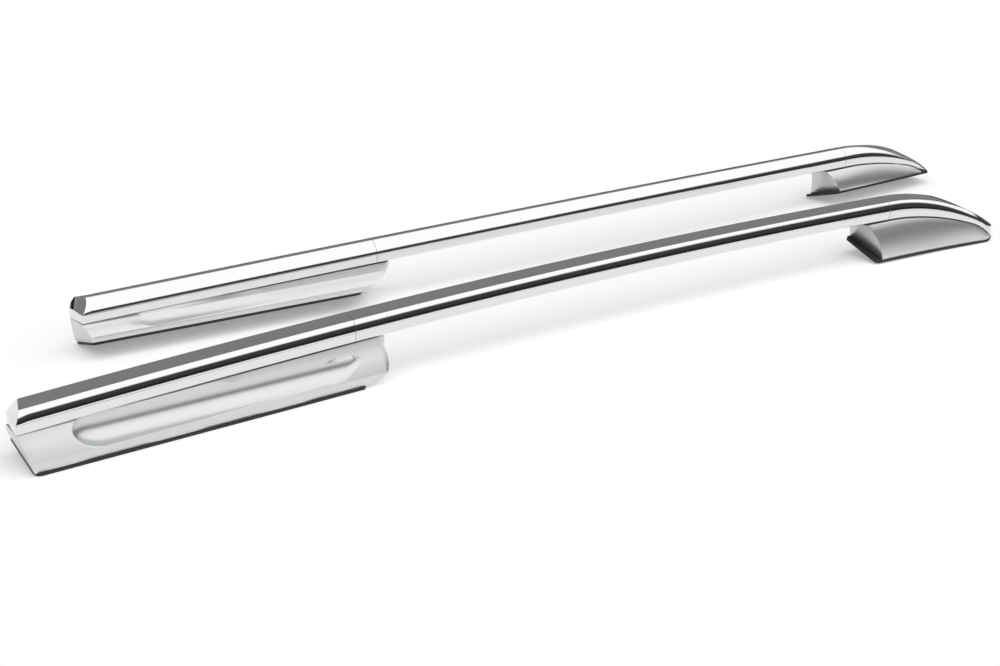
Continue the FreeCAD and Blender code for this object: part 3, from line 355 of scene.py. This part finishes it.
rear_cover_rings = []
for shrink in (0.05, 0.2, 0.4, 0.55, 0.7, 0.8, 0.88, 0.94, 0.98, 1.0):
    ring = []
    for across, up in section:
        across, up = across * shrink, NOSE_CENTRE + (up - NOSE_CENTRE) * shrink
        ring.append(station(nose_reach(across, up)) @ Vector((0, across, up)))
    rear_cover_rings.append(ring)
for step in (0.35, 0.7):
    ring = []
    for across, up in section:
        start = nose_reach(across, up)
        ring.append(station(start + (NOSE_FULL - start) * step) @ Vector((0, across, up)))
    rear_cover_rings.append(ring)
for step in list(range(COVER_STATIONS)) + [COVER_STATIONS - END_HOLD, COVER_STATIONS]:
    place = station(NOSE_FULL + (REAR_SEAM - HALF_SEAM_GAP - NOSE_FULL) * step / COVER_STATIONS)
    rear_cover_rings.append([place @ Vector((0, across, up)) for across, up in section])
rear_cover = skin("right_rear_end_cover_shell", rear_cover_rings)
soften(rear_cover, 0.0015, 40, 4)
fit_pair(rear_cover, "rear_end_cover", bright_plated)

# Rear foot cover: a long satin silver moulding that fills the space between the end cover and the roof.
# It is moulded in one piece with raked ends, a lip along its foot and a long round scoop in each side.

ROOF_SLOPE = math.radians(17)
GASKET_THICKNESS = 0.004
GASKET_LIP = 0.0012
FOOT_WIDTH = 0.077
HALF_FOOT = FOOT_WIDTH / 2
OUTER_EDGE = HALF_FOOT + GASKET_LIP
SIDE_BOTTOM = BAR_WIDTH / 2 - CREASE_STEP - SIDE_LEAN
FIT_CLEARANCE = 0.0003
SHADOW_GAP = 0.002
LIP_HEIGHT = 0.012
REAR_FOOT_START = 0.001
REAR_FOOT_RAKE = 0.0147
REAR_FOOT_LENGTH = 0.471
REAR_FOOT_LEAN = 0.052
REAR_FOOT_SLANT = 0.050
REAR_FOOT_ROUND = 0.038
SCOOP_RADIUS = 0.028
SCOOP_START = 0.060
SCOOP_NOSE = 0.040
SCOOP_LENGTH = 0.370
SCOOP_DEPTH = 0.0054
SCOOP_FADE = math.radians(1.4)
SCOOP_REAR_RAKE = -0.3
SCOOP_RINGS = 50
PANEL_BULGE = 0.0007
BELOW_ROOF = 0.006
LEAST_RISE = 0.00005
FOOT_STATIONS = 24
REAR_BASE_START = REAR_FOOT_START + REAR_FOOT_RAKE
REAR_BASE_END = REAR_BASE_START + REAR_FOOT_LENGTH
REAR_FOOT_END = REAR_BASE_END + REAR_FOOT_LEAN
SIDE_SKETCH = Matrix.Rotation(math.pi / 2, 4, "X")


def underside(reach):
    """Height of the bar's underside at a reach."""
    share = reach / RAIL_LENGTH
    return REAR_HEIGHT + (FRONT_HEIGHT - REAR_HEIGHT) * share + 4 * ARCH_RISE * share * (1 - share)


def roof_level(across):
    """Height of the gasket's upper face at a distance to the left of a foot's middle line."""
    return (OUTER_EDGE + across) * math.tan(ROOF_SLOPE) + GASKET_THICKNESS / math.cos(ROOF_SLOPE)


def level_frame(place, heading):
    """An upright frame at the roof's level, its X along a heading."""
    turn = Matrix.Rotation(math.atan2(heading.y, heading.x), 4, "Z")
    return Matrix.Translation((place.x, place.y, 0)) @ turn


def prism(outline, frame, depth):
    """A straight block with an outline drawn in a frame's XY plane, as deep both ways along its Z."""
    rings = []
    for level in (-depth, depth):
        rings.append([frame @ Vector((x, y, level)) for x, y in outline])
    return skin("cutting_block", rings)


def carve(piece, tool, operation="DIFFERENCE"):
    """Cut a tool's form from a piece, or keep only what is common to both."""
    bpy.ops.object.select_all(action="DESELECT")
    piece.select_set(True)
    bpy.context.view_layer.objects.active = piece
    boolean = piece.modifiers.new("cut", "BOOLEAN")
    boolean.operation = operation
    boolean.solver = "EXACT"
    boolean.object = tool
    bpy.ops.object.modifier_apply(modifier=boolean.name)
    bpy.data.objects.remove(tool)


rear_first, rear_last = station(0).translation, station(REAR_SEAM).translation
rear_heading = rear_last - rear_first
rear_frame = level_frame(rear_first, rear_heading)
rear_inward = Vector((-rear_heading.y, rear_heading.x, 0)).normalized()
rear_bow = (station(REAR_SEAM / 2).translation - (rear_first + rear_last) * 0.5).dot(rear_inward)
rear_frame = Matrix.Translation(rear_inward * (rear_bow / 2)) @ rear_frame

satin_silver = lined_metal("satin_silver", (0.68, 0.69, 0.70), (0.65, 0.66, 0.67), 0.9, 0.31, 0.02,
                           500.0, 300.0, 0.004)
foot_top_half = SIDE_BOTTOM - FIT_CLEARANCE
knee = REAR_HEIGHT - FIT_CLEARANCE
foot_rings = []
for step in range(FOOT_STATIONS + 1):
    along = REAR_FOOT_END * step / FOOT_STATIONS
    share = along / REAR_FOOT_END
    gap = FIT_CLEARANCE + (SHADOW_GAP - FIT_CLEARANCE) * share
    top = underside(along) - gap
    right_half = [
        Vector((HALF_FOOT, roof_level(HALF_FOOT) - BELOW_ROOF)),
        Vector((HALF_FOOT, roof_level(HALF_FOOT) + LIP_HEIGHT - GASKET_THICKNESS)),
    ]
    right_half += arc_points(right_half[-1], Vector((foot_top_half, knee)), PANEL_BULGE, 3)
    right_half.append(Vector((foot_top_half, max(top, knee + LEAST_RISE))))
    left_half = [
        Vector((-foot_top_half, max(top, knee + LEAST_RISE))),
        Vector((-foot_top_half, knee)),
    ]
    outer_lip = Vector((-HALF_FOOT, roof_level(-HALF_FOOT) + LIP_HEIGHT))
    left_half += arc_points(left_half[-1], outer_lip, PANEL_BULGE, 3)
    left_half.append(Vector((-HALF_FOOT, roof_level(-HALF_FOOT) - BELOW_ROOF)))
    foot_rings.append([rear_frame @ Vector((along, across, up)) for across, up in right_half + left_half])
rear_foot = skin("right_rear_foot_moulding", foot_rings)

back_edge = Matrix.Translation((0, 0, OUTER_EDGE)) @ Matrix.Rotation(ROOF_SLOPE, 4, "X")
back_frame = rear_frame @ SIDE_SKETCH @ back_edge
back_outline = [
    (-0.05, -0.05),
    (REAR_BASE_START, -0.05),
    (REAR_BASE_START, 0),
    (REAR_FOOT_START, REAR_HEIGHT),
    (REAR_FOOT_START, 0.12),
    (-0.05, 0.12),
]
carve(rear_foot, prism(back_outline, back_frame, 0.3))

slant = math.atan(REAR_FOOT_SLANT / FOOT_WIDTH)
fall = math.atan(math.tan(ROOF_SLOPE) * math.cos(slant))
front_corner = Matrix.Translation((REAR_BASE_END, -OUTER_EDGE, 0))
turned = Matrix.Rotation(slant, 4, "Y") @ Matrix.Rotation(fall, 4, "X")
end_lean = REAR_FOOT_LEAN * math.cos(slant)
end_top = Vector((end_lean, underside(REAR_FOOT_END)))
end_curve = arc_points(end_top, Vector((0, 0)), -REAR_FOOT_ROUND / 3, 16)
end_outline = [(0, -0.05), (0.3, -0.05), (0.3, 0.15), (end_lean, 0.15), (end_top.x, end_top.y)]
end_outline += [(point.x, point.y) for point in end_curve]
carve(rear_foot, prism(end_outline, rear_frame @ front_corner @ SIDE_SKETCH @ turned, 0.3))

roof_outline = [(-0.1, -0.1), (0.12, -0.1), (0.12, roof_level(0.12)), (-0.1, roof_level(-0.1))]
along_bar = Matrix(((0, 0, 1, 0), (1, 0, 0, 0), (0, 1, 0, 0), (0, 0, 0, 1)))
carve(rear_foot, prism(roof_outline, rear_frame @ along_bar, 0.8))


def scoop_ring(frame, along, radius, rake):
    """A round ring about the scoop's axis, leaning forwards by the rake."""
    ring = []
    for n in range(96):
        turn = n * math.pi / 48
        up = radius * math.sin(turn)
        ring.append(frame @ Vector((along + rake * up, radius * math.cos(turn), up)))
    return ring


for side, lip in ((-1, roof_level(-HALF_FOOT) + LIP_HEIGHT),
                  (1, roof_level(HALF_FOOT) - GASKET_THICKNESS / math.cos(ROOF_SLOPE) + LIP_HEIGHT)):
    across = side * (SIDE_BOTTOM - SCOOP_DEPTH + SCOOP_RADIUS)
    start = rear_frame @ Matrix.Translation((SCOOP_START + SCOOP_NOSE, across, lip + SCOOP_RADIUS))
    swung = start @ Matrix.Rotation(side * SCOOP_FADE, 4, "Z")
    channel_rings = []
    for step in range(1, SCOOP_RINGS):
        turn = math.pi * step / SCOOP_RINGS
        forward = step > SCOOP_RINGS // 2
        reach = -SCOOP_NOSE * math.cos(turn) + (SCOOP_LENGTH if forward else 0)
        rake = REAR_FOOT_LEAN / REAR_HEIGHT if forward else SCOOP_REAR_RAKE
        channel_rings.append(scoop_ring(swung, reach, SCOOP_RADIUS * math.sin(turn), rake))
    carve(rear_foot, skin("scoop_channel", channel_rings))
soften(rear_foot, 0.0006, 30, 2)
fit_pair(rear_foot, "rear_foot_cover", satin_silver)

# Front end cover: a short plated moulding that carries the bar's section on and sweeps down to the roof.
# It spreads to the foot's width at the tip, flares outwards a little and is rounded off in plan.

TIP_HEIGHT = 0.022
TIP_SHARE = 0.17
TIP_LEAN = math.radians(12)
TIP_FLARE = 0.009
TIP_ROUND = 0.032
TIP_CROWN = 0.006
TIP_SLANT = 0.006
TIP_WRAP = 0.70
TIP_DROP = 0.006
LATE_SHARE = 0.85
LATE_LENGTH = 0.15
CROWN_POWER = 2.15
BASE_POWER = 1.75
DEPTH_POWER = 1.5
SWEEP_START = 0.0015
SWEEP_HOLD = 0.1
OUTER_END = FRONT_REACH - TIP_CROWN - TIP_SLANT - TIP_ROUND
FRONT_RISE = TIP_FLARE * (OUTER_END / FRONT_REACH) ** 2 * math.tan(ROOF_SLOPE)
SEAM_LEVEL = underside(FRONT_SEAM) - FRONT_RISE
SWEEP_STATIONS = 30

seam_place = station(FRONT_SEAM)
front_frame = level_frame(seam_place.translation, seam_place.to_3x3() @ Vector((1, 0, 0)))
front_frame = Matrix.Translation((0, 0, FRONT_RISE)) @ front_frame


def flare(share):
    """How far outwards the covers are set at a share of the way to the tip."""
    return -TIP_FLARE * share ** 2


def lean(share):
    """How far the covers lean outwards at a share of the way to the tip."""
    return TIP_LEAN * share ** 2


def crown_level(share):
    """Height of the cover's crown, falling ever faster towards the tip."""
    late = max((share - LATE_SHARE) / LATE_LENGTH, 0)
    fall = (SEAM_LEVEL + BAR_HEIGHT - TIP_HEIGHT) * share ** CROWN_POWER
    return SEAM_LEVEL + BAR_HEIGHT - fall - TIP_DROP * late ** 2


def depth_share(share):
    """How much of the bar's height the cover keeps at a share of the way to the tip."""
    return 1 - (1 - TIP_SHARE) * share ** DEPTH_POWER


def base_level(share):
    """Height of the cover's lower edge, which falls to the gasket close to the tip."""
    fall = (SEAM_LEVEL + BAR_HEIGHT - TIP_HEIGHT) * share ** BASE_POWER
    straight = SEAM_LEVEL + BAR_HEIGHT - fall - BAR_HEIGHT * depth_share(share)
    late = max((share - TIP_WRAP) / (1 - TIP_WRAP), 0)
    return straight - (straight + LIP_HEIGHT) * late ** 3


def cover_half(share):
    """Half the cover's width, growing from the bar's to the foot's."""
    return BAR_WIDTH / 2 + (HALF_FOOT - BAR_WIDTH / 2) * share ** 2


def leaning_ring(share, along, outline):
    """A ring of places in the front foot's frame, leaning and flared as the covers are there."""
    tip = Matrix.Rotation(lean(share), 2)
    ring = []
    for point in outline:
        across, up = tip @ point
        ring.append(front_frame @ Vector((along, across + flare(share), up)))
    return ring


def tip_block(outset):
    """A tall block inside the tip's outline in plan, for rounding both front covers off."""
    half = HALF_FOOT + outset
    outer_end = OUTER_END + outset
    inner_end = outer_end + TIP_SLANT
    end_flare = flare(1)
    near_flare = flare(OUTER_END / FRONT_REACH)
    quarter = (1 - math.cos(math.radians(45))) * TIP_ROUND
    corners = [
        Vector((outer_end, near_flare - half)),
        Vector((outer_end + TIP_ROUND, end_flare - half + TIP_ROUND)),
        Vector((inner_end + TIP_ROUND, end_flare + half - TIP_ROUND)),
        Vector((inner_end, near_flare + half)),
    ]
    outline = [corners[0]]
    for first, last, rise in zip(corners, corners[1:], (quarter, TIP_CROWN, quarter)):
        outline += arc_points(first, last, rise, 12)
    outline += [Vector((inner_end, 0.2)), Vector((-0.2, 0.2))]
    outline += [Vector((-0.2, -0.2)), Vector((outer_end, -0.2))]
    return prism(outline, front_frame, 0.3)


sweep_rings = []
for step in [0, SWEEP_HOLD] + list(range(1, SWEEP_STATIONS + 1)):
    share = SWEEP_START + (1 - SWEEP_START) * step / SWEEP_STATIONS
    wide = cover_half(share) / (BAR_WIDTH / 2)
    deep = (crown_level(share) - base_level(share)) / BAR_HEIGHT
    outline = [Vector((across * wide, base_level(share) + deep * up)) for across, up in section]
    sweep_rings.append(leaning_ring(share, FRONT_REACH * share, outline))
front_cover = skin("right_front_end_cover_shell", sweep_rings)
carve(front_cover, tip_block(GASKET_LIP / 2), "INTERSECT")
carve(front_cover, prism(roof_outline, front_frame @ along_bar, 0.8))
soften(front_cover, 0.0012, 50, 3)
fit_pair(front_cover, "front_end_cover", bright_plated)

# Front foot cover: the short satin moulding under the swept cover, with full sides that meet the roof.
# Its inner end is raked and hollowed, and a thin shadow gap parts it from the cover above.

FRONT_FOOT_OVERLAP = 0.056
FRONT_FOOT_RAKE = 0.032
SIDE_BULGE = 0.003
BULGE_FADE = 0.8
TOP_SHARE = 0.94
OVERLAP_STATIONS = 4


def foot_outline(share):
    """Full-sided section of the front foot from below the roof up to the end cover."""
    gap = SHADOW_GAP * (1 - share) + 2 * FIT_CLEARANCE
    level = base_level(share) - gap
    top = cover_half(share) * TOP_SHARE
    slope = ROOF_SLOPE - lean(share)
    roof = (OUTER_EDGE + flare(share)) * math.sin(ROOF_SLOPE) / math.cos(slope)
    rise = HALF_FOOT * math.tan(slope)
    fullness = SIDE_BULGE * (1 - BULGE_FADE * share)
    inner, outer = Vector((HALF_FOOT, roof + rise)), Vector((-HALF_FOOT, roof - rise))
    outline = [Vector((-HALF_FOOT, -LIP_HEIGHT)), Vector((HALF_FOOT, -LIP_HEIGHT)), inner]
    outline += arc_points(inner, Vector((top, level)), fullness, 6)
    outline.append(Vector((-top, level)))
    outline += arc_points(Vector((-top, level)), outer, fullness, 6)
    return outline


front_foot_rings = []
for step in range(OVERLAP_STATIONS):
    along = -FRONT_FOOT_OVERLAP * (OVERLAP_STATIONS - step) / OVERLAP_STATIONS
    front_foot_rings.append(leaning_ring(0, along, foot_outline(0)))
for step in range(SWEEP_STATIONS + 1):
    share = step / SWEEP_STATIONS
    front_foot_rings.append(leaning_ring(share, FRONT_REACH * share, foot_outline(share)))
front_foot = skin("right_front_foot_moulding", front_foot_rings)
carve(front_foot, tip_block(GASKET_LIP / 2), "INTERSECT")
carve(front_foot, prism(roof_outline, front_frame @ along_bar, 0.8))
end_foot = FRONT_FOOT_RAKE - FRONT_FOOT_OVERLAP
inner_top = Vector((-FRONT_FOOT_OVERLAP, SEAM_LEVEL))
inner_curve = arc_points(Vector((end_foot, 0)), inner_top, FRONT_FOOT_RAKE / 4, 16)
inner_outline = [Vector((-0.12, -0.05)), Vector((end_foot, -0.05)), Vector((end_foot, 0))] + inner_curve
inner_outline += [Vector((-FRONT_FOOT_OVERLAP, 0.15)), Vector((-0.12, 0.15))]
carve(front_foot, prism(inner_outline, front_frame @ SIDE_SKETCH, 0.3))
soften(front_foot, 0.0008, 35, 3)
fit_pair(front_foot, "front_foot_cover", satin_silver)

# Gaskets: black rubber pads, moulded to each foot's outline, that seal the feet to the painted roof.
# Their surface is matt, with the fine speckle of a moulded compound.

rubber = bpy.data.materials.new("gasket_rubber")
rubber.use_nodes = True
nodes, links = rubber.node_tree.nodes, rubber.node_tree.links
shader = nodes["Principled BSDF"]
coordinates = nodes.new("ShaderNodeTexCoord")
speckle = nodes.new("ShaderNodeTexNoise")
speckle.inputs["Scale"].default_value = 1400
speckle.inputs["Detail"].default_value = 2
shade = nodes.new("ShaderNodeValToRGB")
shade.color_ramp.elements[0].color = (0.008, 0.008, 0.008, 1)
shade.color_ramp.elements[1].color = (0.022, 0.022, 0.023, 1)
relief = nodes.new("ShaderNodeBump")
relief.inputs["Strength"].default_value = 0.2
relief.inputs["Distance"].default_value = 0.0001
shader.inputs["Roughness"].default_value = 0.62
links.new(coordinates.outputs["Object"], speckle.inputs["Vector"])
links.new(speckle.outputs["Fac"], shade.inputs["Fac"])
links.new(shade.outputs["Color"], shader.inputs["Base Color"])
links.new(speckle.outputs["Fac"], relief.inputs["Height"])
links.new(relief.outputs["Normal"], shader.inputs["Normal"])


def dress(names, material):
    """Both hands of the carried-over nodes take a material in their own slots."""
    for side in ("right", "left"):
        for name in names:
            node = frame["nodes"]["%s_%s" % (side, name)]
            if not node.data.materials:
                node.data.materials.append(material)
            for slot in node.material_slots:
                slot.material = material


dress(["rear_gasket", "front_gasket"], rubber)

# Brackets: aluminium castings inside each foot, with a base plate, a rib and a tongue that enters the bar.
# Their skin is the dull, slightly pebbled one that the casting die leaves.

cast_skin = lined_metal("cast_aluminium", (0.50, 0.51, 0.52), (0.40, 0.41, 0.42), 1.0, 0.55, 0.08,
                        260.0, 260.0, 0.5)
dress(["rear_bracket", "front_bracket"], cast_skin)

# Bushes and set screws: zinc-plated steel, turned and tapped, so their lines are fine and even.
# Clips: spring steel strip, hardened and phosphated to a dark grey.

zinc = lined_metal("plated_steel", (0.62, 0.62, 0.60), (0.52, 0.52, 0.50), 1.0, 0.34, 0.05,
                   1500.0, 1500.0, 0.1)
spring = lined_metal("spring_steel", (0.30, 0.30, 0.32), (0.22, 0.22, 0.24), 1.0, 0.42, 0.06,
                     900.0, 90.0, 0.1)
dress(["threaded_bushes", "tongue_screws"], zinc)
dress(["cover_clips"], spring)

# Studio: a plain white floor under a white tent. Behind the rails the tent is open to an evenly dim room,
# and low in front and in a thin strip at the floor to a dark one: the bright metal shows them as dark bands.

bpy.ops.mesh.primitive_plane_add(size=30, location=(0, 0, 0))
floor = bpy.context.object
floor.name = "floor"
TENT_LEVEL = 1.3
FLOOR_GLOW = 0.30
STRIP_LEVEL = 0.02
DIM_ROOM = 0.25
DARK_ROOM = 0.05

paper = bpy.data.materials.new("studio_paper")
paper.use_nodes = True
nodes, links = paper.node_tree.nodes, paper.node_tree.links
shader = nodes["Principled BSDF"]
shader.inputs["Base Color"].default_value = (0.92, 0.92, 0.92, 1)
shader.inputs["Roughness"].default_value = 0.9
shader.inputs["Specular IOR Level"].default_value = 0.1
shader.inputs["Emission Color"].default_value = (1, 1, 1, 1)
seen = nodes.new("ShaderNodeLightPath")
seen_sharp = nodes.new("ShaderNodeMath")
seen_sharp.operation = "MAXIMUM"
seen_any = nodes.new("ShaderNodeMath")
seen_any.operation = "MAXIMUM"
glow = nodes.new("ShaderNodeMath")
glow.operation = "MULTIPLY"
glow.inputs[1].default_value = FLOOR_GLOW
links.new(seen.outputs["Is Camera Ray"], seen_sharp.inputs[0])
links.new(seen.outputs["Is Glossy Ray"], seen_sharp.inputs[1])
links.new(seen_sharp.outputs[0], seen_any.inputs[0])
links.new(seen.outputs["Is Transmission Ray"], seen_any.inputs[1])
links.new(seen_any.outputs[0], glow.inputs[0])
links.new(glow.outputs[0], shader.inputs["Emission Strength"])
floor.data.materials.append(paper)

world = bpy.data.worlds.new("studio")
world.use_nodes = True
bpy.context.scene.world = world
nodes, links = world.node_tree.nodes, world.node_tree.links
coordinates = nodes.new("ShaderNodeTexCoord")
parts = nodes.new("ShaderNodeSeparateXYZ")
links.new(coordinates.outputs["Generated"], parts.inputs[0])


def world_math(operation, first, second):
    """A math node in the world, each input a socket or a number."""
    node = nodes.new("ShaderNodeMath")
    node.operation = operation
    for place, value in enumerate((first, second)):
        if isinstance(value, (int, float)):
            node.inputs[place].default_value = value
        else:
            links.new(value, node.inputs[place])
    return node.outputs[0]


def world_step(value, low, high):
    """A soft step from 0 to 1 as a value in the world passes from low to high."""
    node = nodes.new("ShaderNodeMapRange")
    node.interpolation_type = "SMOOTHSTEP"
    node.inputs["From Min"].default_value = low
    node.inputs["From Max"].default_value = high
    links.new(value, node.inputs["Value"])
    return node.outputs["Result"]


def world_blend(amount, first, second):
    """A blend of two brightnesses in the world."""
    node = nodes.new("ShaderNodeMix")
    for place, value in (("Factor", amount), ("A", first), ("B", second)):
        if isinstance(value, (int, float)):
            node.inputs[place].default_value = value
        else:
            links.new(value, node.inputs[place])
    return node.outputs["Result"]


behind = world_step(parts.outputs["Y"], 0.0, 0.12)
over_floor = world_step(parts.outputs["Z"], 0.10, 0.16)
under_roof = world_math("SUBTRACT", 1.0, world_step(parts.outputs["Z"], 0.94, 0.99))
dark_wall = world_math("MULTIPLY", world_math("MULTIPLY", behind, over_floor), under_roof)
level = world_blend(dark_wall, TENT_LEVEL, DIM_ROOM)
in_front = world_math("SUBTRACT", 1.0, behind)
low_wall = world_math("SUBTRACT", 1.0, world_step(parts.outputs["Z"], 0.30, 0.36))
level = world_blend(world_math("MULTIPLY", in_front, low_wall), level, DARK_ROOM)
low_strip = world_math("SUBTRACT", 1.0, over_floor)
level = world_blend(low_strip, level, STRIP_LEVEL)
background = nodes["Background"]
links.new(level, background.inputs["Strength"])
background.inputs["Color"].default_value = (1, 1, 1, 1)
bpy.context.scene.view_settings.view_transform = "Standard"
